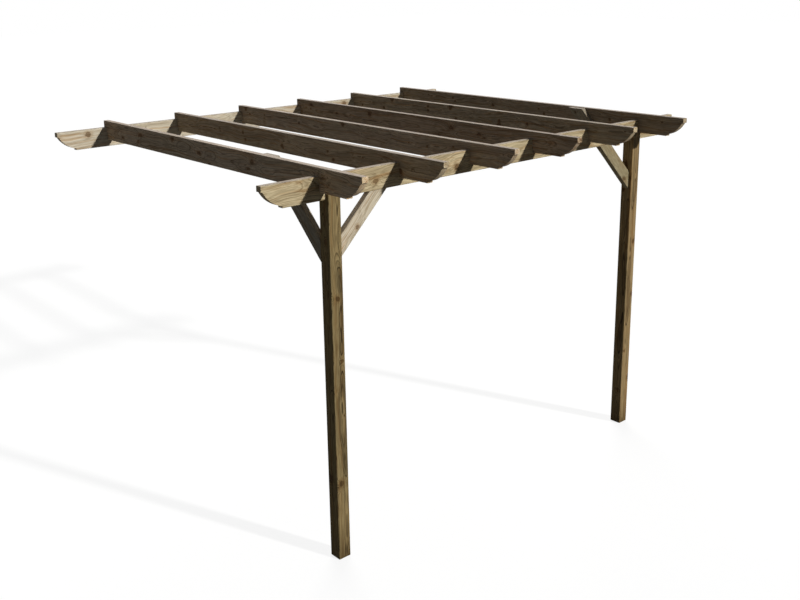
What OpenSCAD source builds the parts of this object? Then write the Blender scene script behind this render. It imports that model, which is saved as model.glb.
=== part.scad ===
// Lean-to garden pergola: two posts, a front beam, a wall ledger, six rafters and four braces.
// Lengths are in millimetres. X runs along the wall, the garden lies toward -Y and Z is up.
// The origin is the middle of the ledger's back face, which lies flat on the wall.

/* [Timber] */
// Side of the square posts
post_w = 90; // [75:1:120]
// Depth of the beams and rafters
board_h = 145; // [130:1:195]
// Thickness of the beams, rafters and braces
board_t = 45; // [34:1:60]
// Width of the braces
brace_w = 95; // [70:1:120]
// How far each long edge of a timber is planed back
arris = 3; // [1:0.5:6]

/* [Layout] */
// Length of the front beam and of the wall ledger
beam_len = 3900; // [3600:10:4800]
// Distance from the end of a beam to the middle of the outer rafter
beam_overhang = 420; // [330:5:600]
// Distance from the wall to the middle of the posts
reach = 2735; // [1800:5:3600]
// How far the rafters pass the front of the front beam
rafter_overhang = 390; // [250:5:600]
// Height of the beams' undersides above the ground
headroom = 2345; // [2000:5:2600]

/* [Joints] */
// Height of the rafters' tops above the tops of the beams
rafter_rise = 50; // [30:1:70]
// Height of the post cheeks above the underside of the front beam
cheek_rise = 55; // [30:1:75]
// Play on each side of a timber in the notch or slot that holds it
joint_play = 0.5; // [0.2:0.1:0.9]

/* [Braces] */
// Leg of a beam brace along the post and along the beam
beam_brace_leg = 376; // [260:2:500]
// Height below the beams' undersides at which a rafter brace meets its post
rafter_brace_drop = 390; // [260:5:500]
// Height from the top of a rafter down to the top of its brace
brace_top_drop = 5; // [0:1:20]

/* [Shaped ends] */
// Height of the upright nose at the tip
nose_h = 35; // [20:1:45]
// Depth of the ledge under the nose
ledge = 10; // [4:0.5:16]
// Length of the shaped end, from the tip to the flat underside
end_run = 140; // [110:1:170]
// Height of the upright step at the foot of the curve
toe_h = 12; // [6:1:20]
// Radius of the curve
curve_r = 195; // [150:1:400]

/* [Hidden] */
$fn = 96;
// How far a cut passes the face that it opens
overrun = 2;
// Treated softwood as it weathers on each kind of timber
post_tone = "#968258";
beam_tone = "#c8b898";
rafter_tone = "#c2b08e";
brace_tone = "#b8a37c";

// Heights of the beams and rafters; the beams' middle is at zero
beam_under = -board_h / 2;
beam_top = board_h / 2;
rafter_under = beam_under + rafter_rise;
rafter_top = beam_top + rafter_rise;
ground = beam_under - headroom;
// Rafters and beams are notched alike, so they seat halfway through their lap
lap_seat = (rafter_under + beam_top) / 2;

// Places of the rafters and posts
rafter_shares = [-1, -0.6, -0.2, 0.2, 0.6, 1];
outer_rafter = beam_len / 2 - beam_overhang;
// The outer rafters pass the outer faces of the posts
post_x = outer_rafter - (board_t + post_w) / 2;
post_inner = post_x - post_w / 2;
post_outer = post_x + post_w / 2;
post_back = post_w / 2 - reach;
rafter_tip = -reach - board_t / 2 - rafter_overhang;
ledger_y = -board_t / 2;
notch_w = board_t + 2 * joint_play;

// The braces lean by half a right angle, so both legs of a brace are alike
brace_tilt = 45;
rafter_brace_foot = beam_under - rafter_brace_drop;
rafter_brace_head = rafter_top - brace_top_drop;
rafter_brace_run = rafter_brace_head - rafter_brace_foot;

// The curve of a shaped end runs from under the ledge to the top of the toe
curve_start = [ledge, -nose_h];
curve_end = [end_run, toe_h - board_h];
curve_chord = curve_end - curve_start;
curve_side = [-curve_chord[1], curve_chord[0]] / norm(curve_chord);
curve_offset = sqrt(curve_r * curve_r - norm(curve_chord) * norm(curve_chord) / 4);
curve_mid = (curve_start + curve_end) / 2 + curve_side * curve_offset;

// Section of a timber with its arrises planed off, from its lowest corner
module section(width, depth) {
    polygon([
        [arris, 0], [width - arris, 0],
        [width, arris], [width, depth - arris],
        [width - arris, depth], [arris, depth],
        [0, depth - arris], [0, arris]
    ]);
}

// What is cut away under the tip of a board that starts at X = 0 with its top at Z = 0
module end_cut() {
    difference() {
        translate([-overrun, -board_t / 2 - overrun, -board_h - overrun])
            cube([end_run + overrun, board_t + 2 * overrun, board_h + overrun - nose_h]);
        translate([curve_mid[0], 0, curve_mid[1]])
            rotate([90, 0, 0])
                cylinder(h = board_t + 4 * overrun, r = curve_r, center = true);
    }
}

// A beam along X, shaped at both ends and notched from above for the rafters
module beam() {
    difference() {
        translate([-beam_len / 2, -board_t / 2, beam_under])
            rotate([90, 0, 90])
                linear_extrude(height = beam_len)
                    section(board_t, board_h);
        for (side = [0, 1])
            mirror([side, 0, 0])
                translate([-beam_len / 2, 0, beam_top])
                    end_cut();
        for (share = rafter_shares)
            translate([share * outer_rafter - notch_w / 2, -board_t / 2 - overrun, lap_seat])
                cube([notch_w, board_t + 2 * overrun, beam_top - lap_seat + overrun]);
    }
}

// A rafter from its shaped tip to the wall, notched from below over the beam and the ledger
module rafter(share) {
    translate([share * outer_rafter, 0, 0])
        difference() {
            translate([-board_t / 2, 0, rafter_under])
                rotate([90, 0, 0])
                    linear_extrude(height = -rafter_tip)
                        section(board_t, board_h);
            translate([0, rafter_tip, rafter_top])
                rotate([0, 0, 90])
                    end_cut();
            translate([-board_t / 2 - overrun, -reach - notch_w / 2, rafter_under - overrun])
                cube([board_t + 2 * overrun, notch_w, lap_seat - rafter_under + overrun]);
            translate([-board_t / 2 - overrun, -board_t - joint_play, rafter_under - overrun])
                cube([board_t + 2 * overrun, board_t + joint_play + overrun, lap_seat - rafter_under + overrun]);
        }
}

// The right post, with a slot across its head that leaves a cheek on each side of the beam
module post() {
    translate([post_x, -reach, ground])
        difference() {
            translate([-post_w / 2, -post_w / 2, 0])
                linear_extrude(height = headroom + cheek_rise)
                    section(post_w, post_w);
            translate([-post_w / 2 - overrun, -notch_w / 2, headroom])
                cube([post_w + 2 * overrun, notch_w, cheek_rise + overrun]);
        }
}

// The right beam brace, from the inner face of its post to the underside of the front beam
module beam_brace() {
    translate([post_inner, -reach - board_t / 2, beam_under])
        intersection() {
            translate([-beam_brace_leg - overrun, -overrun, -beam_brace_leg - overrun])
                cube([beam_brace_leg + overrun, board_t + 2 * overrun, beam_brace_leg + overrun]);
            translate([0, 0, -beam_brace_leg])
                rotate([0, -brace_tilt, 0])
                    translate([0, 0, -brace_w])
                        linear_extrude(height = beam_brace_leg / cos(brace_tilt) + 2 * brace_w)
                            section(brace_w, board_t);
        }
}

// The right rafter brace, from the back of its post up the inner side of the outer rafter
module rafter_brace() {
    translate([post_outer - board_t, post_back, rafter_brace_foot])
        intersection() {
            translate([-overrun, 0, -overrun])
                cube([board_t + 2 * overrun, rafter_brace_run + overrun, rafter_brace_run + overrun]);
            rotate([-brace_tilt, 0, 0])
                translate([0, -brace_w, -brace_w])
                    linear_extrude(height = rafter_brace_run / cos(brace_tilt) + 2 * brace_w)
                        section(board_t, brace_w);
        }
}

module left_post() { color(post_tone) mirror([1, 0, 0]) post(); }
module right_post() { color(post_tone) post(); }
module front_beam() { color(beam_tone) translate([0, -reach, 0]) beam(); }
module wall_ledger() { color(beam_tone) translate([0, ledger_y, 0]) beam(); }
module rafter_1() { color(rafter_tone) rafter(rafter_shares[0]); }
module rafter_2() { color(rafter_tone) rafter(rafter_shares[1]); }
module rafter_3() { color(rafter_tone) rafter(rafter_shares[2]); }
module rafter_4() { color(rafter_tone) rafter(rafter_shares[3]); }
module rafter_5() { color(rafter_tone) rafter(rafter_shares[4]); }
module rafter_6() { color(rafter_tone) rafter(rafter_shares[5]); }
module left_beam_brace() { color(brace_tone) mirror([1, 0, 0]) beam_brace(); }
module right_beam_brace() { color(brace_tone) beam_brace(); }
module left_rafter_brace() { color(brace_tone) mirror([1, 0, 0]) rafter_brace(); }
module right_rafter_brace() { color(brace_tone) rafter_brace(); }

left_post();
right_post();
front_beam();
wall_ledger();
rafter_1();
rafter_2();
rafter_3();
rafter_4();
rafter_5();
rafter_6();
left_beam_brace();
right_beam_brace();
left_rafter_brace();
right_rafter_brace();
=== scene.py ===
"""Looks of a lean-to garden pergola in treated softwood, dressed around its packed timbers."""

import math
import random

import bmesh
import bpy
from mathutils import Matrix, Vector


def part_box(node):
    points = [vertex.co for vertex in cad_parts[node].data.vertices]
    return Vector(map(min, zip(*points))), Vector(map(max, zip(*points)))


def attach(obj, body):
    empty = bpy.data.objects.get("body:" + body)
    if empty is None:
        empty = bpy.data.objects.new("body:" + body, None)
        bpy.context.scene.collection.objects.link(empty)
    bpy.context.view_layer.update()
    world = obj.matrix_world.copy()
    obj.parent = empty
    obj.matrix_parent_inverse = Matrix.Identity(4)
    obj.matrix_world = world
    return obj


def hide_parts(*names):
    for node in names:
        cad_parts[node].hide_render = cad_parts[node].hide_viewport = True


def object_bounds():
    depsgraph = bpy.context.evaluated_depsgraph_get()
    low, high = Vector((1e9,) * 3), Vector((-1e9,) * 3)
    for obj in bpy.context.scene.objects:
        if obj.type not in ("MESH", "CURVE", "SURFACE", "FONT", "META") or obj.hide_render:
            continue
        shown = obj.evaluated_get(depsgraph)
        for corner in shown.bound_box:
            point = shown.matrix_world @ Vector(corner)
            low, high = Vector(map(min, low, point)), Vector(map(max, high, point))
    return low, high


bl_info = {
    "name": "Lean-to pergola",
    "version": (1, 0, 0),
    "blender": (4, 5, 0),
    "location": "View3D > Sidebar > Pergola",
    "description": "Dresses the timbers of a lean-to garden pergola with grain, checks and screws",
    "category": "Object",
}

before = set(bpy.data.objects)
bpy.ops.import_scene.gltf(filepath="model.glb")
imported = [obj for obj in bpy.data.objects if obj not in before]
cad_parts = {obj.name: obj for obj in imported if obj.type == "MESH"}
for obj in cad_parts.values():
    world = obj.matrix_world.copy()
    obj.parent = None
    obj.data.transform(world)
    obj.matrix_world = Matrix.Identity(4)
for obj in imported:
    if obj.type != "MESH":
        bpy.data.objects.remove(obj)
CAD_LOW, CAD_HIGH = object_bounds()

# Directions of the frame: X along the wall, the garden toward -Y, Z up
ALONG_WALL = Vector((1, 0, 0))
TO_WALL = Vector((0, 1, 0))
UP = Vector((0, 0, 1))

# Nodes of each kind of timber
POSTS = ("left_post", "right_post")
BEAMS = ("front_beam", "wall_ledger")
RAFTERS = ("rafter_1", "rafter_2", "rafter_3", "rafter_4", "rafter_5", "rafter_6")
BEAM_BRACES = ("left_beam_brace", "right_beam_brace")
RAFTER_BRACES = ("left_rafter_brace", "right_rafter_brace")

# Red, green and blue of a timber beside the colour of its kind: partly its own tint and partly painted
# light and shade, lighter where a timber stands open to the light and darker where others shade it
TONES_AND_PAINTED_SHADE = {
    "left_post": (0.82, 0.8, 0.78), "right_post": (1.15, 1.08, 1.1), "wall_ledger": (1.04, 1.05, 1.05),
    "left_beam_brace": (1.2, 1.24, 1.3), "right_beam_brace": (0.68, 0.68, 0.57),
    "left_rafter_brace": (0.72, 0.76, 0.8), "right_rafter_brace": (0.72, 0.76, 0.8),
    "rafter_1": (1.18, 1.15, 1.14), "rafter_2": (0.85, 0.86, 0.86), "rafter_3": (1.0, 1.0, 1.05),
    "rafter_4": (0.76, 0.73, 0.74), "rafter_5": (0.93, 0.95, 0.95), "rafter_6": (0.78, 0.78, 0.79),
}
PLAIN_TONE = (1.0, 1.0, 1.0)
# Where along its stem a timber is cut, in metres; one that isn't named here is cut by chance
STEM_PLACES = {
    "left_post": 7.664, "front_beam": 10.329, "wall_ledger": 41.659,
    "left_beam_brace": 44.427, "right_beam_brace": 44.144, "rafter_1": 69.789,
}
# Timbers that have dried so fast that they have checks on all four sides
CHECKED_ALL_ROUND = ("left_post",)

MM = 0.001
# Points of a timber's mesh closer than this are one point
MERGE_DISTANCE = 0.01 * MM
# Faces of a timber's mesh that turn by less than this are one face
FLAT_ANGLE = math.radians(0.5)
# Edges that turn by more than this are worn, and those that stay so sharp are drawn sharp
SHARP_ANGLE = math.radians(30)

# Sizes over which patterns in the wood repeat, along the grain and across it both ways. Those along it
# are given finely, because the places along a stem run to 70 m
WANDER = Vector((555.556, 333.3, 333.3)) * MM
RIPPLE = Vector((250.0, 45.45, 45.45)) * MM
CLOUD = Vector((625.0, 111.1, 111.1)) * MM
FIBRE_LENGTH = 200.0 * MM
STREAK_LENGTH = 1666.67 * MM
# Sizes of the mottling in the painted shade of the drying checks and of the scuffs on the screws
CHECK_SHADE_MOTTLE = 8.0 * MM
SCUFF = 2.0 * MM
# Length of stem from which a timber's place is drawn, in metres
STEM_LENGTH = 60
# How far sideways the pith can lie from the middle of a board, and how far in front of it or behind it
BOARD_PITH_ASIDE = 30 * MM
BOARD_PITH_AWAY = (35 * MM, 70 * MM)
# How far the pith can lie from the middle of a post, and the stem's turn in it
POST_PITH = 20 * MM
POST_TURN = math.radians(225)

# A drying check's wedge: its steps, how far it stands out of the wood, how far and over how many radians
# it waves, the power that rounds its outline, and its opening at the tips beside its middle
CHECK_STEPS = 12
CHECK_LIFT = 2 * MM
CHECK_WAVE = 3 * MM
CHECK_WAVE_TURN = 5
CHECK_ROUNDING = 0.7
CHECK_TIP = 0.06
# Length of a timber's ends that stays free of checks, both together
CHECK_MARGIN = 60 * MM
# Shares between which a check's wave, its width and depth, its length and its places along the board and
# across it are drawn
CHECK_WAVES = (0.5, 1.0)
CHECK_SIZES = (0.6, 1.0)
CHECK_LENGTHS = (0.35, 1.0)
CHECK_PLACES = (0.2, 0.8)
CHECK_SPREAD = (-0.55, 0.55)

# Sides of a screw head, and its crown beside its rim
HEAD_SIDES = 24
CROWN_SHARE = 0.82
# Where screws lie, in edge distances from the ledger's edges, and in toe distances along the level top of
# a rafter brace to its middle and from there down along the brace
LEDGER_INSET = 1.5
BRACE_TOP_MIDDLE = 1.4
BRACE_SCREWS = (0.8, 1.8)

# Sockets of a Mix node that mixes colours
MIX_FACTOR = 0
MIX_A = 6
MIX_B = 7
MIX_RESULT = 2

# The photograph's camera: its place in metres, its turn from facing the wall toward +X, its pitch and its
# roll. The shift is less than the photograph's own, because other views keep it and would lose the roof
CAMERA_PLACE = Vector((-4.862, -7.211, 1.178))
CAMERA_AZIMUTH = math.radians(40.717)
CAMERA_PITCH = math.radians(-15.044)
CAMERA_ROLL = math.radians(0.903)
CAMERA_SHIFT = (0.0133, -0.075)
# Width of the sensor in millimetres, and how far the camera sees in metres
SENSOR_WIDTH = 36.0
FAR_AWAY = 500.0

# Directions in which the light travels, and the angle that its source fills in degrees
KEY_TRAVELS = Vector((-0.75, 2.0, -1.0))
KEY_SOFTNESS = 2.5
BACK_TRAVELS = Vector((-0.8, -1.0, -0.7))
BACK_SOFTNESS = 40.0
# Half the side of the floor in metres, and its distance below the feet, so that no two faces coincide
FLOOR_HALF = 60.0
FLOOR_GAP = 1 * MM


def linear(hex_colour):
    """A colour written as sRGB hex, as the linear values that Blender uses, opaque."""
    values = [int(hex_colour[i:i + 2], 16) / 255 for i in (1, 3, 5)]
    return *(v / 12.92 if v <= 0.04045 else ((v + 0.055) / 1.055) ** 2.4 for v in values), 1.0


def length_property(name, description, millimetres):
    """A length that the sidebar shows, given in millimetres."""
    return bpy.props.FloatProperty(
        name=name, description=description, default=millimetres * MM, min=0.0, precision=4, unit="LENGTH"
    )


def colour_property(name, description, hex_colour):
    """A colour that the sidebar shows, given as sRGB hex."""
    return bpy.props.FloatVectorProperty(
        name=name, description=description, default=linear(hex_colour),
        size=4, min=0.0, max=1.0, subtype="COLOR",
    )


def share_property(name, description, share):
    """A share from none to all that the sidebar shows."""
    return bpy.props.FloatProperty(
        name=name, description=description, default=share, min=0.0, max=1.0, subtype="FACTOR"
    )


class PergolaTimber(bpy.types.PropertyGroup):
    """Sizes of what shows on the timbers' surfaces."""

    worn_edge: length_property("Worn edge", "How far weather and handling have worn an edge", 1.0)
    board_ring: length_property("Board ring", "Spacing of the growth rings in the boards", 6.0)
    post_ring: length_property("Post ring", "Spacing of the growth rings in the posts", 5.2)
    board_sway: length_property("Board sway", "How far the stems of the boards wander", 110.0)
    post_sway: length_property("Post sway", "How far the stems of the posts wander", 75.0)
    band: length_property("Ring band", "Width of the bands of darker years among the rings", 20.0)
    knot_pitch: length_property("Knot pitch", "Distance along the grain between knots", 440.0)
    knot_radius: length_property("Knot radius", "Radius of the largest knots", 16.0)
    fibre: length_property("Fibre", "Width of the fibre streaks", 4.5)
    streak: length_property("Streak", "Width of the resin streaks", 16.0)
    splash: length_property("Splash", "Height to which rain splashes soil the feet of the posts", 260.0)
    check_width: length_property("Check width", "Width of a drying check where it is widest", 3.2)
    check_depth: length_property("Check depth", "Depth of a drying check where it is deepest", 16.0)


class PergolaColours(bpy.types.PropertyGroup):
    """Colours of the timbers and the screws."""

    post_early: colour_property("Post, early wood", "Pale part of a ring in the posts", "#a08d63")
    post_late: colour_property("Post, late wood", "Dark part of a ring in the posts", "#2c1f0d")
    beam_early: colour_property("Beam, early wood", "Pale part of a ring in the front beam", "#cbba95")
    beam_late: colour_property("Beam, late wood", "Dark part of a ring in the front beam", "#6f5c3a")
    ledger_early: colour_property("Ledger, early wood", "Pale part of a ring in the ledger", "#d3c8b2")
    ledger_late: colour_property("Ledger, late wood", "Dark part of a ring in the ledger", "#ab9a7d")
    rafter_early: colour_property("Rafter, early wood", "Pale part of a ring in the rafters", "#cebca1")
    rafter_late: colour_property("Rafter, late wood", "Dark part of a ring in the rafters", "#776149")
    brace_early: colour_property("Brace, early wood", "Pale part of a ring in the braces", "#c3b59c")
    brace_late: colour_property("Brace, late wood", "Dark part of a ring in the braces", "#9d8c70")
    fibre: colour_property("Fibre", "Stain that dust leaves between the fibres", "#b0a699")
    resin: colour_property("Resin", "Stain of the resin streaks", "#dcb789")
    knot_rim: colour_property("Knot rim", "Stain of the resinous wood round a knot", "#c6a67c")
    knot: colour_property("Knot", "Stain of a knot's heart", "#705a43")
    # Pale partly from the open grain and partly as painted bounce light from the floor on the curved ends
    sawn: colour_property("Sawn end", "Open grain of a sawn end", "#e4cfa9")
    soil: colour_property("Soil", "Stain of the splashes on the feet of the posts", "#8f8574")
    treatment: colour_property("Treatment", "Greenish salts of the pressure treatment", "#8b845f")
    # Grey partly from weathering and partly as painted shade on the faces that look up
    bleached: colour_property("Bleached top", "Tops that rain and sun have bleached", "#a3978b")
    # Painted shade inside the drying checks
    split: colour_property("Split wood", "Sides of the drying checks", "#33261a")
    screw: colour_property("Screw", "Coating of the screws", "#6b5a3e")


class PergolaFigure(bpy.types.PropertyGroup):
    """How strongly the rings, the treatment and the knots show."""

    post: share_property("Posts", "Strength of the rings on the posts", 0.9)
    beam: share_property("Front beam", "Strength of the rings on the front beam", 0.6)
    ledger: share_property("Ledger", "Strength of the rings on the ledger", 0.55)
    rafter: share_property("Rafters", "Strength of the rings on the rafters", 0.65)
    brace: share_property("Braces", "Strength of the rings on the braces", 0.5)
    treatment: share_property("Treatment", "Strength of the greenish salts", 0.2)
    knot: share_property("Knots", "Strength of the knots' stain", 0.65)


class PergolaFixings(bpy.types.PropertyGroup):
    """Sizes and places of the screws."""

    head_radius: length_property("Head radius", "Radius of a screw head", 5.0)
    head_height: length_property("Head height", "Height of a screw head, half of it in the wood", 1.6)
    recess_width: length_property("Recess width", "Width of the cross recess", 1.4)
    recess_length: length_property("Recess length", "Length of the cross recess", 5.6)
    recess_depth: length_property("Recess depth", "Depth of the cross recess", 0.9)
    edge_distance: length_property("Edge distance", "Distance from a screw to the timber's edge", 22.0)
    toe_distance: length_property("Toe distance", "Distance from a brace's tip to its screw", 48.0)
    seed: bpy.props.IntProperty(name="Seed", description="Turns of the screw heads", default=7)


class PergolaStage(bpy.types.PropertyGroup):
    """Floor, light and camera."""

    floor: colour_property("Floor", "Colour of the floor", "#f4f3f0")
    glow: bpy.props.FloatProperty(
        name="Floor glow", description="White that the floor shows in any light", default=0.835, min=0.0
    )
    shadow: share_property("Floor shadow", "How much of the light and shadow the floor shows", 0.22)
    bounce: share_property("Floor bounce", "Share of the light that the floor throws back up", 0.12)
    key: bpy.props.FloatProperty(name="Key light", description="Strength of the key light", default=3.35)
    back: bpy.props.FloatProperty(name="Back light", description="Strength of the back light", default=2.4)
    fill: bpy.props.FloatProperty(
        name="Fill light", description="Strength of the surroundings", default=0.085
    )
    sky: colour_property("Fill colour", "Colour of the surroundings' light", "#d3e0f5")
    lens: bpy.props.FloatProperty(
        name="Lens", description="Focal length in millimetres on a sensor 36 mm wide", default=44.43
    )


def group(name):
    """One of this pergola's property groups."""
    return getattr(bpy.context.scene, "pergola_" + name)


def add(tree, kind, settings=None, links=None):
    """Adds a node with its settings to a tree and gives its outputs.

    links has a value, a socket or a list of sockets for each input that isn't left as it is. An input
    goes by its name, or by its number where names repeat: a Map Range node has the value as 0, the range
    that it comes from as 1 and 2, and the range that it goes to as 3 and 4.
    """
    node = tree.nodes.new(kind)
    for name, value in (settings or {}).items():
        setattr(node, name, value)
    for key, value in (links or {}).items():
        for source in value if isinstance(value, list) else [value]:
            if isinstance(source, bpy.types.NodeSocket):
                tree.links.new(source, node.inputs[key])
            else:
                node.inputs[key].default_value = source
    return node.outputs


def bare_material(name):
    """A new material and its empty node tree."""
    material = bpy.data.materials.new(name)
    material.use_nodes = True
    material.node_tree.nodes.clear()
    return material, material.node_tree


def draw_curve(output, points):
    """Draws the curve of a Float Curve node, given its output and the curve's points from left to right."""
    mapping = output.node.mapping
    curve = mapping.curves[0].points
    curve[0].location, *between, curve[-1].location = points
    for place, height in between:
        curve.new(place, height)
    mapping.update()


def bent_stem(tree, grain, sway):
    """Places in a stem that wanders, so that its rings run out of a sawn face in long arches."""
    slowly = add(tree, "ShaderNodeVectorMath", {"operation": "DIVIDE"}, {0: grain, 1: WANDER})[0]
    drift = add(tree, "ShaderNodeTexNoise", {}, {"Vector": slowly, "Scale": 1.0, "Detail": 2.0})["Color"]
    bend = add(tree, "ShaderNodeVectorMath", {"operation": "SUBTRACT"}, {0: drift, 1: (0.5, 0.5, 0.5)})[0]
    aslant = add(tree, "ShaderNodeCombineXYZ", {}, {1: sway, 2: sway})[0]
    return add(
        tree, "ShaderNodeVectorMath", {"operation": "MULTIPLY_ADD"}, {0: bend, 1: aslant, 2: grain}
    )[0]


def branch_knots(tree, stem, radius):
    """Knots as branches that leave the pith, each at its own place along the stem and angle round it.

    A branch thickens outwards, and fades where the ground of the next one begins. Gives the knots'
    size, their hearts and the browner rims round them.
    """
    timber = group("timber")
    # Radians round the pith from branch to branch, and the width of a knot beside its length
    arc = 1.3
    roundness = 0.6
    # Share of the places that stay bare, the share over which others grow, and what a bare one keeps
    bare = 0.4
    growing = 0.02
    trace = 0.02
    # The smallest knot beside the largest, a branch at the pith beside its full size, and where it is full
    smallest = 0.4
    at_pith = 0.15
    full_radius = 60 * MM
    # Length of the dents in a knot's outline, and the least and the most that they make of its size
    dent = 22.2222 * MM
    least = 0.8
    most = 1.8
    # Distance from the next branch's ground at which a knot starts to fade, and how steeply its rim fades
    fringe = 0.12
    steepness = 0.34

    along, across, through = add(tree, "ShaderNodeSeparateXYZ", {}, {0: stem})
    angle = add(tree, "ShaderNodeMath", {"operation": "ARCTAN2"}, {0: across, 1: through})[0]
    unrolled = add(tree, "ShaderNodeCombineXYZ", {}, {0: along, 1: angle})[0]
    ground = (timber.knot_pitch, arc, 1.0)
    cells = add(tree, "ShaderNodeVectorMath", {"operation": "DIVIDE"}, {0: unrolled, 1: ground})[0]
    branch, edge = [
        add(
            tree, "ShaderNodeTexVoronoi", {"voronoi_dimensions": "2D", "feature": feature},
            {"Vector": cells, "Scale": 1.0},
        )
        for feature in ("F1", "DISTANCE_TO_EDGE")
    ]
    inside = add(
        tree, "ShaderNodeMapRange", {"interpolation_type": "SMOOTHSTEP"}, {0: edge["Distance"], 2: fringe}
    )[0]
    away = add(
        tree, "ShaderNodeVectorMath", {"operation": "SUBTRACT"}, {0: cells, 1: branch["Position"]}
    )[0]
    arc_length = add(tree, "ShaderNodeMath", {"operation": "MULTIPLY"}, {0: radius, 1: arc})[0]
    oval = add(tree, "ShaderNodeCombineXYZ", {}, {0: roundness * timber.knot_pitch, 1: arc_length})[0]
    offset = add(tree, "ShaderNodeVectorMath", {"operation": "MULTIPLY"}, {0: away, 1: oval})[0]
    distance = add(tree, "ShaderNodeVectorMath", {"operation": "LENGTH"}, {0: offset})["Value"]

    there, big, _ = add(tree, "ShaderNodeSeparateColor", {}, {0: branch["Color"]})
    grown = add(tree, "ShaderNodeMapRange", {}, {0: there, 1: bare, 2: bare + growing, 3: trace, 4: 1.0})[0]
    largest = timber.knot_radius
    full = add(tree, "ShaderNodeMapRange", {}, {0: big, 3: smallest * largest, 4: largest})[0]
    taper = add(tree, "ShaderNodeMapRange", {}, {0: radius, 2: full_radius, 3: at_pith, 4: 1.0})[0]
    thick = add(tree, "ShaderNodeMath", {"operation": "MULTIPLY"}, {0: full, 1: taper})[0]
    size = add(tree, "ShaderNodeMath", {"operation": "MULTIPLY"}, {0: grown, 1: thick})[0]
    wobble = add(tree, "ShaderNodeTexNoise", {}, {"Vector": stem, "Scale": 1 / dent, "Detail": 1.0})[0]
    uneven = add(tree, "ShaderNodeMapRange", {}, {0: wobble, 3: least, 4: most})[0]
    outline = add(tree, "ShaderNodeMath", {"operation": "MULTIPLY"}, {0: size, 1: uneven})[0]
    reach = add(tree, "ShaderNodeMath", {"operation": "DIVIDE"}, {0: distance, 1: outline})[0]

    rings = add(tree, "ShaderNodeFloatCurve", {}, {1: reach})[0]
    draw_curve(
        rings, ((0.0, 1.0), (0.15, 0.7), (0.3, 0.95), (0.45, 0.65), (0.62, 1.0), (0.8, 0.4), (1.0, 0.0))
    )
    heart = add(tree, "ShaderNodeMath", {"operation": "MULTIPLY"}, {0: rings, 1: inside})[0]
    square = add(tree, "ShaderNodeMath", {"operation": "POWER"}, {0: reach, 1: 2.0})[0]
    fading = add(tree, "ShaderNodeMath", {"operation": "MULTIPLY"}, {0: square, 1: -steepness})[0]
    glow = add(tree, "ShaderNodeMath", {"operation": "EXPONENT"}, {0: fading})[0]
    rim = add(tree, "ShaderNodeMath", {"operation": "MULTIPLY"}, {0: glow, 1: inside})[0]
    return size, heart, rim


def growth_rings(tree, stem, radius, spacing, knot_size, rim):
    """Growth rings that swell round a knot, each with a pale early and a dark late part.

    Gives the late wood and the bands in which the years are darker.
    """
    # How far the rings swell round a knot, in knot sizes
    bulge = 1.6
    # A quarter of the years are faint and a tenth are the darkest; what a faint one shows
    faint = 0.25
    darkest = 0.9
    faint_share = 0.15

    lengthened = add(tree, "ShaderNodeVectorMath", {"operation": "DIVIDE"}, {0: stem, 1: RIPPLE})[0]
    ripple = add(tree, "ShaderNodeTexNoise", {}, {"Vector": lengthened, "Scale": 1.0, "Detail": 2.0})[0]
    swell = add(tree, "ShaderNodeMath", {"operation": "MULTIPLY"}, {0: knot_size, 1: bulge})[0]
    swollen = add(tree, "ShaderNodeMath", {"operation": "MULTIPLY_ADD"}, {0: rim, 1: swell, 2: radius})[0]
    rippled = add(
        tree, "ShaderNodeMath", {"operation": "MULTIPLY_ADD"}, {0: ripple, 1: spacing, 2: swollen}
    )[0]
    count = add(tree, "ShaderNodeMath", {"operation": "DIVIDE"}, {0: rippled, 1: spacing})[0]
    season = add(tree, "ShaderNodeMath", {"operation": "FRACT"}, {0: count})[0]
    ring = add(tree, "ShaderNodeFloatCurve", {}, {1: season})[0]
    draw_curve(ring, ((0.0, 0.25), (0.1, 0.0), (0.6, 0.12), (0.87, 1.0), (1.0, 0.5)))
    number = add(tree, "ShaderNodeMath", {"operation": "FLOOR"}, {0: count})[0]
    year = add(tree, "ShaderNodeTexWhiteNoise", {"noise_dimensions": "1D"}, {"W": number})[0]
    strength = add(
        tree, "ShaderNodeMapRange", {}, {0: year, 1: faint, 2: darkest, 3: faint_share, 4: 1.0}
    )[0]
    late = add(tree, "ShaderNodeMath", {"operation": "MULTIPLY"}, {0: ring, 1: strength})[0]
    band = add(
        tree, "ShaderNodeTexNoise", {"noise_dimensions": "1D"},
        {"W": rippled, "Scale": 1 / group("timber").band, "Detail": 1.5},
    )[0]
    return late, band


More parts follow.
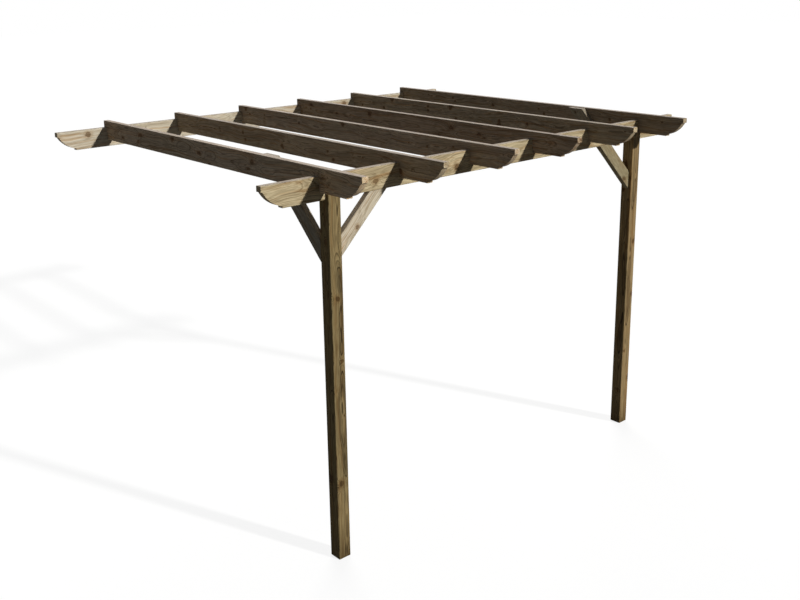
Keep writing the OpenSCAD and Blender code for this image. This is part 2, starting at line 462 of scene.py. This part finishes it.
def softwood_figure():
    """Node group that draws what a sawn softwood board shows: growth rings round a pith, knots and fibre.

    It reads the attribute "grain", whose X runs along the board and whose Y and Z lead away from
    the pith, in metres.
    """
    name = "softwood figure"
    if name in bpy.data.node_groups:
        return bpy.data.node_groups[name]
    timber = group("timber")
    tree = bpy.data.node_groups.new(name, "ShaderNodeTree")
    for length in ("Ring", "Sway"):
        tree.interface.new_socket(length, in_out="INPUT", socket_type="NodeSocketFloat")
    for output in ("Late wood", "Band", "Fibre", "Streak", "Patch", "Knot", "Rim"):
        tree.interface.new_socket(output, in_out="OUTPUT", socket_type="NodeSocketFloat")
    given = add(tree, "NodeGroupInput")
    grain = add(tree, "ShaderNodeAttribute", {"attribute_name": "grain"})["Vector"]
    stem = bent_stem(tree, grain, given["Sway"])
    aside = add(tree, "ShaderNodeVectorMath", {"operation": "MULTIPLY"}, {0: stem, 1: (0.0, 1.0, 1.0)})[0]
    radius = add(tree, "ShaderNodeVectorMath", {"operation": "LENGTH"}, {0: aside})["Value"]
    knot_size, knot, rim = branch_knots(tree, stem, radius)
    late, band = growth_rings(tree, stem, radius, given["Ring"], knot_size, rim)
    shown = {"Late wood": late, "Band": band, "Knot": knot, "Rim": rim}

    # Fibres and resin lie along the grain; a real fibre is finer and is drawn as wide as it needs to show
    drawn_out = (
        ("Fibre", stem, (FIBRE_LENGTH, timber.fibre, timber.fibre), 3.0),
        ("Streak", stem, (STREAK_LENGTH, timber.streak, timber.streak), 2.0),
        ("Patch", grain, CLOUD, 3.0),
    )
    for output, place, repeat, detail in drawn_out:
        drawn = add(tree, "ShaderNodeVectorMath", {"operation": "DIVIDE"}, {0: place, 1: repeat})[0]
        shown[output] = add(
            tree, "ShaderNodeTexNoise", {}, {"Vector": drawn, "Scale": 1.0, "Detail": detail}
        )[0]
    add(tree, "NodeGroupOutput", {}, shown)
    return tree


def softwood(kind):
    """Pressure-treated softwood, planed and left outdoors: matt, with brown knots in straw-coloured wood.

    The eye sees dark late wood in arches and lines along the board, resin streaks, browner wood
    round the knots, a greenish tint in patches, pale sawn ends whose paleness is partly painted bounce
    light, tops gone grey and darkened partly by painted shade, and each timber's tint, partly painted light
    and shade.
    """
    name = f"{kind} treated softwood"
    if name in bpy.data.materials:
        return bpy.data.materials[name]
    colours, strengths, timber = group("colours"), group("figure"), group("timber")
    material, tree = bare_material(name)
    stock = "post" if kind == "post" else "board"
    figure = add(
        tree, "ShaderNodeGroup", {"node_tree": softwood_figure()},
        {"Ring": getattr(timber, stock + "_ring"), "Sway": getattr(timber, stock + "_sway")},
    )
    place = add(tree, "ShaderNodeTexCoord")
    height = add(tree, "ShaderNodeSeparateXYZ", {}, {0: place["Object"]})[2]
    sky = add(tree, "ShaderNodeSeparateXYZ", {}, {0: place["Normal"]})[2]
    sawn = add(tree, "ShaderNodeAttribute", {"attribute_name": "sawn"})["Fac"]
    tone = add(tree, "ShaderNodeAttribute", {"attribute_name": "tone"})["Color"]
    early, late = getattr(colours, kind + "_early"), getattr(colours, kind + "_late")
    rings = getattr(strengths, kind)

    # What shows, the values between which it comes up, how far, and how it colours the wood.
    # The timber's tint is partly its own and partly painted light and shade, and shows all over it
    layers = (
        # Sawn ends: open grain, made paler by painted bounce light from the floor on the curved ends
        (sawn, 0.0, 1.0, 0.8, "MIX", colours.sawn),
        (figure["Late wood"], 0.0, 1.0, rings, "MIX", late),
        (figure["Band"], 0.48, 0.64, 0.6 * rings, "MIX", late),
        (figure["Patch"], 0.45, 0.75, strengths.treatment, "MIX", colours.treatment),
        (figure["Fibre"], 0.4, 0.7, 0.8, "MULTIPLY", colours.fibre),
        (figure["Streak"], 0.5, 0.7, 0.6, "MULTIPLY", colours.resin),
        (figure["Rim"], 0.3, 1.0, 0.7, "MULTIPLY", colours.knot_rim),
        (figure["Knot"], 0.0, 1.0, strengths.knot, "MULTIPLY", colours.knot),
        (height, CAD_LOW.z + timber.splash, CAD_LOW.z, 0.7, "MULTIPLY", colours.soil),
        # Painted light and shade: each timber's tint, lighter where it stands open to the light, darker in
        # shade
        (1.0, 0.0, 1.0, 1.0, "MULTIPLY", tone),
        # Faces that look up go grey: partly weathering, partly painted shade
        (sky, 0.6, 1.0, 0.7, "MIX", colours.bleached),
    )
    colour = early
    for source, nothing, all_of_it, most, blend, stain in layers:
        share = add(tree, "ShaderNodeMapRange", {}, {0: source, 1: nothing, 2: all_of_it, 4: most})[0]
        colour = add(
            tree, "ShaderNodeMix", {"data_type": "RGBA", "blend_type": blend},
            {MIX_FACTOR: share, MIX_A: colour, MIX_B: stain},
        )[MIX_RESULT]

    # Late wood stands up from the softer early wood that the weather takes away, a little less than fibres
    rise = 0.7
    raised = add(
        tree, "ShaderNodeMath", {"operation": "MULTIPLY_ADD"},
        {0: figure["Late wood"], 1: rise, 2: figure["Fibre"]},
    )[0]
    relief = add(tree, "ShaderNodeBump", {}, {"Strength": 0.5, "Distance": 1.0 * MM, "Height": raised})[0]
    # Roughness where the fibres lie close, and where they have lifted
    close = 0.7
    lifted = 0.9
    matt = add(tree, "ShaderNodeMapRange", {}, {0: figure["Fibre"], 1: 0.3, 2: 0.7, 3: close, 4: lifted})[0]
    surface = add(
        tree, "ShaderNodeBsdfPrincipled", {},
        {
            "Base Color": colour, "Roughness": matt, "IOR": 1.45, "Specular IOR Level": 0.12,
            "Normal": relief,
        },
    )[0]
    add(tree, "ShaderNodeOutputMaterial", {}, {"Surface": surface})
    return material


def check_shade_wood():
    """Torn softwood inside a drying check: rough, and dark with painted shade so that it reads as a dark
    line.
    """
    name = "split softwood"
    if name in bpy.data.materials:
        return bpy.data.materials[name]
    colours = group("colours")
    material, tree = bare_material(name)
    place = add(tree, "ShaderNodeTexCoord")["Object"]
    # Mottling of the painted shade between two dark browns
    dust = add(tree, "ShaderNodeTexNoise", {}, {"Vector": place, "Scale": 1 / CHECK_SHADE_MOTTLE, "Detail": 3.0})[0]
    colour = add(
        tree, "ShaderNodeMix", {"data_type": "RGBA"},
        {MIX_FACTOR: dust, MIX_A: colours.split, MIX_B: colours.post_late},
    )[MIX_RESULT]
    surface = add(
        tree, "ShaderNodeBsdfPrincipled", {},
        {"Base Color": colour, "Roughness": 0.9, "Specular IOR Level": 0.1},
    )[0]
    add(tree, "ShaderNodeOutputMaterial", {}, {"Surface": surface})
    return material


def coated_steel():
    """Steel screw with a dull bronze-brown coating: half matt, a little scuffed on the rim of the head."""
    colours = group("colours")
    material, tree = bare_material("coated steel")
    place = add(tree, "ShaderNodeTexCoord")["Object"]
    scuff = add(tree, "ShaderNodeTexNoise", {}, {"Vector": place, "Scale": 1 / SCUFF, "Detail": 2.0})[0]
    colour = add(
        tree, "ShaderNodeMix", {"data_type": "RGBA"},
        {MIX_FACTOR: scuff, MIX_A: colours.screw, MIX_B: colours.post_late},
    )[MIX_RESULT]
    # Roughness where the coating is whole, and where it is scuffed
    whole = 0.4
    scuffed = 0.65
    dull = add(tree, "ShaderNodeMapRange", {}, {0: scuff, 3: whole, 4: scuffed})[0]
    surface = add(
        tree, "ShaderNodeBsdfPrincipled", {}, {"Base Color": colour, "Metallic": 0.6, "Roughness": dull}
    )[0]
    add(tree, "ShaderNodeOutputMaterial", {}, {"Surface": surface})
    return material


class Board:
    """Where a timber lies: its middle, its grain's direction beside its two others, and its half sizes.

    draw gives the random values that are its own.
    """

    def __init__(self, node, along, across):
        low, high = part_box(node)
        self.node = node
        self.middle = (low + high) / 2
        self.along = along.normalized()
        self.across = across.normalized()
        self.through = self.along.cross(self.across)
        self.draw = random.Random(node)
        corners = [vertex.co - self.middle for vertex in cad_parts[node].data.vertices]
        self.half_length = max(corner.dot(self.along) for corner in corners)
        self.half_width = max(corner.dot(self.across) for corner in corners)
        self.half_thickness = max(corner.dot(self.through) for corner in corners)


def open_check(wedges, board, along, across, length, outward, distance, sideways):
    """Adds the long pointed wedge that opens a drying check in the face of a board that looks outward."""
    timber = group("timber")
    wave = board.draw.uniform(*CHECK_WAVES) * CHECK_WAVE
    phase = board.draw.uniform(0, 2 * math.pi)
    width = timber.check_width * board.draw.uniform(*CHECK_SIZES)
    depth = timber.check_depth * board.draw.uniform(*CHECK_SIZES)
    rings = []
    for i in range(CHECK_STEPS + 1):
        share = i / CHECK_STEPS
        swell = max(math.sin(math.pi * share) ** CHECK_ROUNDING, CHECK_TIP)
        aside = across + wave * math.sin(phase + CHECK_WAVE_TURN * share)
        middle = board.middle + board.along * (along + (share - 0.5) * length)
        middle += sideways * aside + outward * distance
        down = depth * swell
        opened = width * swell / 2 * (1 + CHECK_LIFT / down)
        rings.append([
            wedges.verts.new(middle - sideways * opened + outward * CHECK_LIFT),
            wedges.verts.new(middle + sideways * opened + outward * CHECK_LIFT),
            wedges.verts.new(middle - outward * down),
        ])
    for here, there in zip(rings, rings[1:]):
        for i in range(3):
            j = (i + 1) % 3
            wedges.faces.new((here[i], here[j], there[j], there[i]))
    wedges.faces.new(rings[0])
    wedges.faces.new(reversed(rings[-1]))


def check_wedges(board, count, longest):
    """The wedges that cut a board's drying checks, a few in each of its wide faces or on all sides."""
    ways = [(board.through, board.half_thickness, board.across, board.half_width)]
    if board.node in CHECKED_ALL_ROUND:
        ways.append((board.across, board.half_width, board.through, board.half_thickness))
    sides = [(sign * outward, *others) for outward, *others in ways for sign in (1, -1)]
    wedges = bmesh.new()
    for outward, distance, sideways, half_width in sides:
        for i in range(count):
            length = board.draw.uniform(*CHECK_LENGTHS) * longest
            room = 2 * board.half_length - length - CHECK_MARGIN
            along = ((i + board.draw.uniform(*CHECK_PLACES)) / count - 0.5) * room
            across = board.draw.uniform(*CHECK_SPREAD) * half_width
            open_check(wedges, board, along, across, length, outward, distance, sideways)
    bmesh.ops.recalc_face_normals(wedges, faces=wedges.faces)
    mesh = bpy.data.meshes.new(board.node + "_checks")
    wedges.to_mesh(mesh)
    wedges.free()
    # The sides of the checks take the painted shade
    mesh.materials.append(check_shade_wood())
    cutter = bpy.data.objects.new(mesh.name, mesh)
    bpy.context.scene.collection.objects.link(cutter)
    return cutter


def settle(piece):
    """Turns a piece with modifiers into a plain mesh without them."""
    evaluated = piece.evaluated_get(bpy.context.evaluated_depsgraph_get())
    mesh = bpy.data.meshes.new_from_object(evaluated)
    piece.modifiers.clear()
    piece.data = mesh
    mesh.name = piece.name


def mark_grain(piece, board, pith):
    """Writes each point's place in the stem, which faces are sawn, and the tint with its painted light and
    shade.
    """
    mesh = piece.data
    start = STEM_PLACES.get(board.node, board.draw.uniform(0, STEM_LENGTH))
    across, through, turn = pith
    # The tint carries painted light and shade as well as the timber's own colour
    toned_and_shaded = (*TONES_AND_PAINTED_SHADE.get(board.node, PLAIN_TONE), 1.0)
    places = [vertex.co - board.middle for vertex in mesh.vertices]
    grain = mesh.attributes.new("grain", "FLOAT_VECTOR", "POINT")
    turned = Matrix.Rotation(turn, 3, "X")
    for value, place in zip(grain.data, places):
        value.vector = turned @ Vector((
            start + place.dot(board.along),
            place.dot(board.across) + across,
            place.dot(board.through) + through,
        ))
    tone = mesh.attributes.new("tone", "FLOAT_COLOR", "POINT")
    for value in tone.data:
        value.color = toned_and_shaded
    sawn = mesh.attributes.new("sawn", "FLOAT", "FACE")
    for value, face in zip(sawn.data, mesh.polygons):
        value.value = abs(face.normal.dot(board.along))


def dress(node, kind, along, across, pith, checks=0, longest=0.0):
    """Makes a timber as it stands outdoors: its node copied, with worn edges, checks and its own grain."""
    board = Board(node, along, across)
    mesh = bpy.data.meshes.new(node + "_wood")
    shape = bmesh.new()
    shape.from_mesh(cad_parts[node].data)
    bmesh.ops.remove_doubles(shape, verts=shape.verts, dist=MERGE_DISTANCE)
    bmesh.ops.dissolve_limit(shape, angle_limit=FLAT_ANGLE, verts=shape.verts, edges=shape.edges)
    weight = shape.edges.layers.float.new("bevel_weight_edge")
    for edge in shape.edges:
        if edge.is_convex and edge.calc_face_angle() > SHARP_ANGLE:
            edge[weight] = 1.0
    for face in shape.faces:
        face.material_index = 0
        face.smooth = True
    shape.to_mesh(mesh)
    shape.free()
    mesh.materials.clear()
    mesh.materials.append(softwood(kind))
    piece = bpy.data.objects.new(node + "_wood", mesh)
    bpy.context.scene.collection.objects.link(piece)
    wear = piece.modifiers.new("worn edges", "BEVEL")
    wear.limit_method = "WEIGHT"
    wear.width = group("timber").worn_edge
    wear.segments = 2
    if checks:
        cutter = check_wedges(board, checks, longest)
        cut = piece.modifiers.new("drying checks", "BOOLEAN")
        cut.object = cutter
        cut.solver = "EXACT"
        cut.use_self = True
        cut.material_mode = "TRANSFER"
        settle(piece)
        bpy.data.objects.remove(cutter)
    else:
        settle(piece)
    piece.data.set_sharp_from_angle(angle=SHARP_ANGLE)
    even = piece.modifiers.new("flat faces", "WEIGHTED_NORMAL")
    even.keep_sharp = True
    settle(piece)
    mark_grain(piece, board, pith(board))
    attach(piece, "root")
    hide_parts(node)


def plain_sawn(board):
    """Pith of a board sawn beside the stem's heart, and the stem's turn: its wide faces show arches."""
    side = board.draw.choice((-1, 1))
    turn = 0 if side > 0 else math.pi
    aside = board.draw.uniform(-BOARD_PITH_ASIDE, BOARD_PITH_ASIDE)
    return aside, side * board.draw.uniform(*BOARD_PITH_AWAY), turn


def boxed_heart(board):
    """Pith of a post sawn round the stem's heart, and the stem's turn: its knots part at the rear arris."""
    return board.draw.uniform(-POST_PITH, POST_PITH), board.draw.uniform(-POST_PITH, POST_PITH), POST_TURN


class PERGOLA_OT_posts(bpy.types.Operator):
    """Dress the two posts"""

    bl_idname = "pergola.posts"
    bl_label = "Posts"

    def execute(self, context):
        for node in POSTS:
            dress(node, "post", UP, ALONG_WALL, boxed_heart, checks=3, longest=900 * MM)
        return {"FINISHED"}


class PERGOLA_OT_beams(bpy.types.Operator):
    """Dress the front beam and the wall ledger"""

    bl_idname = "pergola.beams"
    bl_label = "Beams"

    def execute(self, context):
        for node, kind in zip(BEAMS, ("beam", "ledger")):
            dress(node, kind, ALONG_WALL, UP, plain_sawn, checks=3, longest=450 * MM)
        return {"FINISHED"}


class PERGOLA_OT_rafters(bpy.types.Operator):
    """Dress the six rafters"""

    bl_idname = "pergola.rafters"
    bl_label = "Rafters"

    def execute(self, context):
        for node in RAFTERS:
            dress(node, "rafter", TO_WALL, UP, plain_sawn, checks=2, longest=400 * MM)
        return {"FINISHED"}


class PERGOLA_OT_braces(bpy.types.Operator):
    """Dress the four braces"""

    bl_idname = "pergola.braces"
    bl_label = "Braces"

    def execute(self, context):
        for node in BEAM_BRACES:
            inward = ALONG_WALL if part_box(node)[1].x < 0 else -ALONG_WALL
            dress(node, "brace", inward + UP, UP - inward, plain_sawn)
        for node in RAFTER_BRACES:
            dress(node, "brace", TO_WALL + UP, UP - TO_WALL, plain_sawn)
        return {"FINISHED"}


def screw_tree(material):
    """Node tree that sets a screw head with a cross recess on each point, turned to where it faces."""
    tree = bpy.data.node_groups.new("screw heads", "GeometryNodeTree")
    tree.interface.new_socket("Geometry", in_out="INPUT", socket_type="NodeSocketGeometry")
    for size in ("Head Radius", "Head Height", "Recess Width", "Recess Length", "Recess Depth"):
        tree.interface.new_socket(size, in_out="INPUT", socket_type="NodeSocketFloat")
    tree.interface.new_socket("Seed", in_out="INPUT", socket_type="NodeSocketInt")
    tree.interface.new_socket("Geometry", in_out="OUTPUT", socket_type="NodeSocketGeometry")
    given = add(tree, "NodeGroupInput")

    crown = add(
        tree, "ShaderNodeMath", {"operation": "MULTIPLY"}, {0: given["Head Radius"], 1: CROWN_SHARE}
    )[0]
    head = add(
        tree, "GeometryNodeMeshCone", {"fill_type": "NGON"},
        {
            "Vertices": HEAD_SIDES, "Radius Bottom": given["Head Radius"], "Radius Top": crown,
            "Depth": given["Head Height"],
        },
    )["Mesh"]
    top = add(tree, "ShaderNodeCombineXYZ", {}, {2: given["Head Height"]})[0]
    # A bar that cuts the recess has its middle at the top of the head, so half of its height cuts
    depth = given["Recess Depth"]
    bar_height = add(tree, "ShaderNodeMath", {"operation": "ADD"}, {0: depth, 1: depth})[0]
    bars = []
    for length, width in (("Recess Length", "Recess Width"), ("Recess Width", "Recess Length")):
        size = add(tree, "ShaderNodeCombineXYZ", {}, {0: given[length], 1: given[width], 2: bar_height})[0]
        bar = add(tree, "GeometryNodeMeshCube", {}, {"Size": size})["Mesh"]
        bars.append(add(tree, "GeometryNodeTransform", {}, {"Geometry": bar, "Translation": top})[0])
    recessed = add(
        tree, "GeometryNodeMeshBoolean", {"operation": "DIFFERENCE", "solver": "EXACT"}, {0: head, 1: bars}
    )[0]
    sunk = add(tree, "ShaderNodeVectorMath", {"operation": "SCALE"}, {0: top, "Scale": -0.5})[0]
    seated = add(tree, "GeometryNodeTransform", {}, {"Geometry": recessed, "Translation": sunk})[0]

    facing = add(
        tree, "GeometryNodeInputNamedAttribute", {"data_type": "FLOAT_VECTOR"}, {"Name": "facing"}
    )[0]
    upright = add(tree, "FunctionNodeAlignRotationToVector", {"axis": "Z"}, {"Vector": facing})[0]
    turn = add(
        tree, "FunctionNodeRandomValue", {"data_type": "FLOAT"}, {"Max": math.pi, "Seed": given["Seed"]}
    )["Value"]
    driven = add(tree, "FunctionNodeAxisAngleToRotation", {}, {"Axis": UP, "Angle": turn})[0]
    rotation = add(
        tree, "FunctionNodeRotateRotation", {"rotation_space": "LOCAL"}, {0: upright, 1: driven}
    )[0]
    points = add(tree, "GeometryNodeMeshToPoints", {}, {"Mesh": given["Geometry"]})[0]
    heads = add(
        tree, "GeometryNodeInstanceOnPoints", {},
        {"Points": points, "Instance": seated, "Rotation": rotation},
    )[0]
    real = add(tree, "GeometryNodeRealizeInstances", {}, {"Geometry": heads})[0]
    coated = add(tree, "GeometryNodeSetMaterial", {}, {"Geometry": real, "Material": material})[0]
    add(tree, "NodeGroupOutput", {}, {0: coated})
    return tree


def screw_places():
    """Each screw head's place and facing, worked out from the timbers' boxes."""
    fixings = group("fixings")
    edge, toe = fixings.edge_distance, fixings.toe_distance
    places = []

    # Two screws through each cheek of a post into the front beam
    beam_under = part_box("front_beam")[0].z
    for node in POSTS:
        low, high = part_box(node)
        height = (beam_under + high.z) / 2
        for x in (low.x + edge, high.x - edge):
            places.append((Vector((x, low.y, height)), -TO_WALL))
            places.append((Vector((x, high.y, height)), TO_WALL))

    # One screw down through each lap of a rafter
    laps = [sum(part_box(node), Vector()).y / 2 for node in BEAMS]
    lines = [sum(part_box(node), Vector()).x / 2 for node in RAFTERS]
    rafter_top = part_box(RAFTERS[0])[1].z
    places += [(Vector((x, y, rafter_top)), UP) for x in lines for y in laps]

    # Two screws through the ledger into the wall in each bay
    low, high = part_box("wall_ledger")
    inset = LEDGER_INSET * edge
    for left, right in zip(lines, lines[1:]):
        for z in (low.z + inset, high.z - inset):
            places.append((Vector(((left + right) / 2, low.y, z)), -TO_WALL))

    # One screw at each end of a brace, and two where a rafter brace lies against its rafter
    for node in BEAM_BRACES:
        low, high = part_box(node)
        left = high.x < 0
        inward = ALONG_WALL if left else -ALONG_WALL
        foot = Vector((low.x if left else high.x, (low.y + high.y) / 2, low.z))
        head = Vector((high.x if left else low.x, foot.y, high.z))
        slope = (inward + UP).normalized()
        under = (inward - UP).normalized()
        places += [(foot + slope * toe, under), (head - slope * toe, under)]
    for node in RAFTER_BRACES:
        low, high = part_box(node)
        left = high.x < 0
        slope = (TO_WALL + UP).normalized()
        under = (TO_WALL - UP).normalized()
        foot = Vector(((low.x + high.x) / 2, low.y, low.z))
        places.append((foot + slope * toe, under))
        inward = ALONG_WALL if left else -ALONG_WALL
        head = Vector((high.x if left else low.x, high.y, high.z)) - TO_WALL * toe * BRACE_TOP_MIDDLE
        places += [(head - slope * toe * step, inward) for step in BRACE_SCREWS]
    return places


class PERGOLA_OT_screws(bpy.types.Operator):
    """Set the screw heads that show on the posts, rafters, braces and ledger"""

    bl_idname = "pergola.screws"
    bl_label = "Screws"

    def execute(self, context):
        fixings = group("fixings")
        places = screw_places()
        mesh = bpy.data.meshes.new("screws")
        mesh.from_pydata([place for place, _ in places], [], [])
        facing = mesh.attributes.new("facing", "FLOAT_VECTOR", "POINT")
        for value, (_, direction) in zip(facing.data, places):
            value.vector = direction
        screws = bpy.data.objects.new("screws", mesh)
        bpy.context.scene.collection.objects.link(screws)
        heads = screws.modifiers.new("screw heads", "NODES")
        heads.node_group = screw_tree(coated_steel())
        for item in heads.node_group.interface.items_tree:
            if item.in_out == "INPUT" and item.name != "Geometry":
                heads[item.identifier] = getattr(fixings, item.name.lower().replace(" ", "_"))
        settle(screws)
        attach(screws, "root")
        return {"FINISHED"}


def seen(tree):
    """One where a ray comes from the eye, straight or by way of gloss or glass, and nought elsewhere."""
    path = add(tree, "ShaderNodeLightPath")
    straight = path["Is Camera Ray"]
    for way in ("Is Glossy Ray", "Is Transmission Ray"):
        straight = add(tree, "ShaderNodeMath", {"operation": "MAXIMUM"}, {0: straight, 1: path[way]})[0]
    return straight


def pale_floor():
    """Pale matt floor that shows white to the eye, keeps a faint shadow and throws little light back up."""
    stage = group("stage")
    material, tree = bare_material("pale floor")
    shadowed, bouncing = [
        tuple(channel * share for channel in stage.floor) for share in (stage.shadow, stage.bounce)
    ]
    matt = add(tree, "ShaderNodeBsdfDiffuse", {}, {"Color": shadowed})[0]
    glow = add(tree, "ShaderNodeEmission", {}, {"Strength": stage.glow})[0]
    shown = add(tree, "ShaderNodeAddShader", {}, {0: matt, 1: glow})[0]
    dim = add(tree, "ShaderNodeBsdfDiffuse", {}, {"Color": bouncing})[0]
    surface = add(tree, "ShaderNodeMixShader", {}, {0: seen(tree), 1: dim, 2: shown})[0]
    add(tree, "ShaderNodeOutputMaterial", {}, {"Surface": surface})
    return material


def white_surroundings():
    """World that is white to the eye and lights the object with a weak even fill."""
    world = bpy.data.worlds.new("studio")
    bpy.context.scene.world = world
    world.use_nodes = True
    tree = world.node_tree
    tree.nodes.clear()
    stage = group("stage")
    white = add(tree, "ShaderNodeBackground", {}, {"Color": linear("#ffffff")})[0]
    fill = add(tree, "ShaderNodeBackground", {}, {"Color": stage.sky, "Strength": stage.fill})[0]
    shown = add(tree, "ShaderNodeMixShader", {}, {0: seen(tree), 1: fill, 2: white})[0]
    add(tree, "ShaderNodeOutputWorld", {}, {"Surface": shown})


def sun(name, travels, strength, softness):
    """A distant light whose rays travel in the given direction."""
    lamp = bpy.data.lights.new(name, "SUN")
    lamp.energy = strength
    lamp.angle = math.radians(softness)
    light = bpy.data.objects.new(name, lamp)
    light.rotation_mode = "QUATERNION"
    light.rotation_quaternion = travels.to_track_quat("-Z", "Y")
    bpy.context.scene.collection.objects.link(light)


def camera_view():
    """The camera's place and turn as a matrix: it stands to the left of the front, above the rafters."""
    level_look = Vector((math.sin(CAMERA_AZIMUTH), math.cos(CAMERA_AZIMUTH), 0))
    look = level_look * math.cos(CAMERA_PITCH) + UP * math.sin(CAMERA_PITCH)
    right = level_look.cross(UP)
    top = right.cross(look)
    axes = Matrix((right, top, -look)).transposed().to_4x4()
    return Matrix.Translation(CAMERA_PLACE) @ axes @ Matrix.Rotation(-CAMERA_ROLL, 4, "Z")


class PERGOLA_OT_stage(bpy.types.Operator):
    """Set up the floor, the light and the camera"""

    bl_idname = "pergola.stage"
    bl_label = "Stage"

    def execute(self, context):
        stage = group("stage")
        mesh = bpy.data.meshes.new("floor")
        corners = [(-1, -1), (1, -1), (1, 1), (-1, 1)]
        level = CAD_LOW.z - FLOOR_GAP
        mesh.from_pydata([(x * FLOOR_HALF, y * FLOOR_HALF, level) for x, y in corners], [], [(0, 1, 2, 3)])
        mesh.materials.append(pale_floor())
        floor = bpy.data.objects.new("floor", mesh)
        context.scene.collection.objects.link(floor)
        white_surroundings()
        sun("key", KEY_TRAVELS, stage.key, KEY_SOFTNESS)
        sun("back", BACK_TRAVELS, stage.back, BACK_SOFTNESS)

        camera = bpy.data.cameras.new("camera")
        camera.sensor_width = SENSOR_WIDTH
        camera.lens = stage.lens
        camera.shift_x, camera.shift_y = CAMERA_SHIFT
        camera.clip_end = FAR_AWAY
        stand = bpy.data.objects.new("camera", camera)
        stand.matrix_world = camera_view()
        context.scene.collection.objects.link(stand)
        context.scene.camera = stand
        context.scene.view_settings.view_transform = "Standard"
        return {"FINISHED"}


OPERATORS = (
    PERGOLA_OT_posts, PERGOLA_OT_beams, PERGOLA_OT_rafters, PERGOLA_OT_braces,
    PERGOLA_OT_screws, PERGOLA_OT_stage,
)
GROUPS = {
    "timber": PergolaTimber, "colours": PergolaColours, "figure": PergolaFigure,
    "fixings": PergolaFixings, "stage": PergolaStage,
}


class PERGOLA_PT_sidebar(bpy.types.Panel):
    """Sizes, colours and operators of the pergola"""

    bl_idname = "PERGOLA_PT_sidebar"
    bl_label = "Pergola"
    bl_space_type = "VIEW_3D"
    bl_region_type = "UI"
    bl_category = "Pergola"

    def draw(self, context):
        for name, kind in GROUPS.items():
            box = self.layout.box()
            box.label(text=name.capitalize())
            for field in kind.__annotations__:
                box.prop(group(name), field)
        for operator in OPERATORS:
            self.layout.operator(operator.bl_idname)


def register():
    """Registers the classes and gives the scene its property groups."""
    for cls in (*GROUPS.values(), *OPERATORS, PERGOLA_PT_sidebar):
        bpy.utils.register_class(cls)
    for name, kind in GROUPS.items():
        setattr(bpy.types.Scene, "pergola_" + name, bpy.props.PointerProperty(type=kind))


def unregister():
    """Takes back what register has done."""
    for name in GROUPS:
        delattr(bpy.types.Scene, "pergola_" + name)
    for cls in reversed((*GROUPS.values(), *OPERATORS, PERGOLA_PT_sidebar)):
        bpy.utils.unregister_class(cls)


def main():
    """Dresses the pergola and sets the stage."""
    register()
    bpy.ops.pergola.posts()
    bpy.ops.pergola.beams()
    bpy.ops.pergola.rafters()
    bpy.ops.pergola.braces()
    bpy.ops.pergola.screws()
    bpy.ops.pergola.stage()


if __name__ == "__main__":
    main()
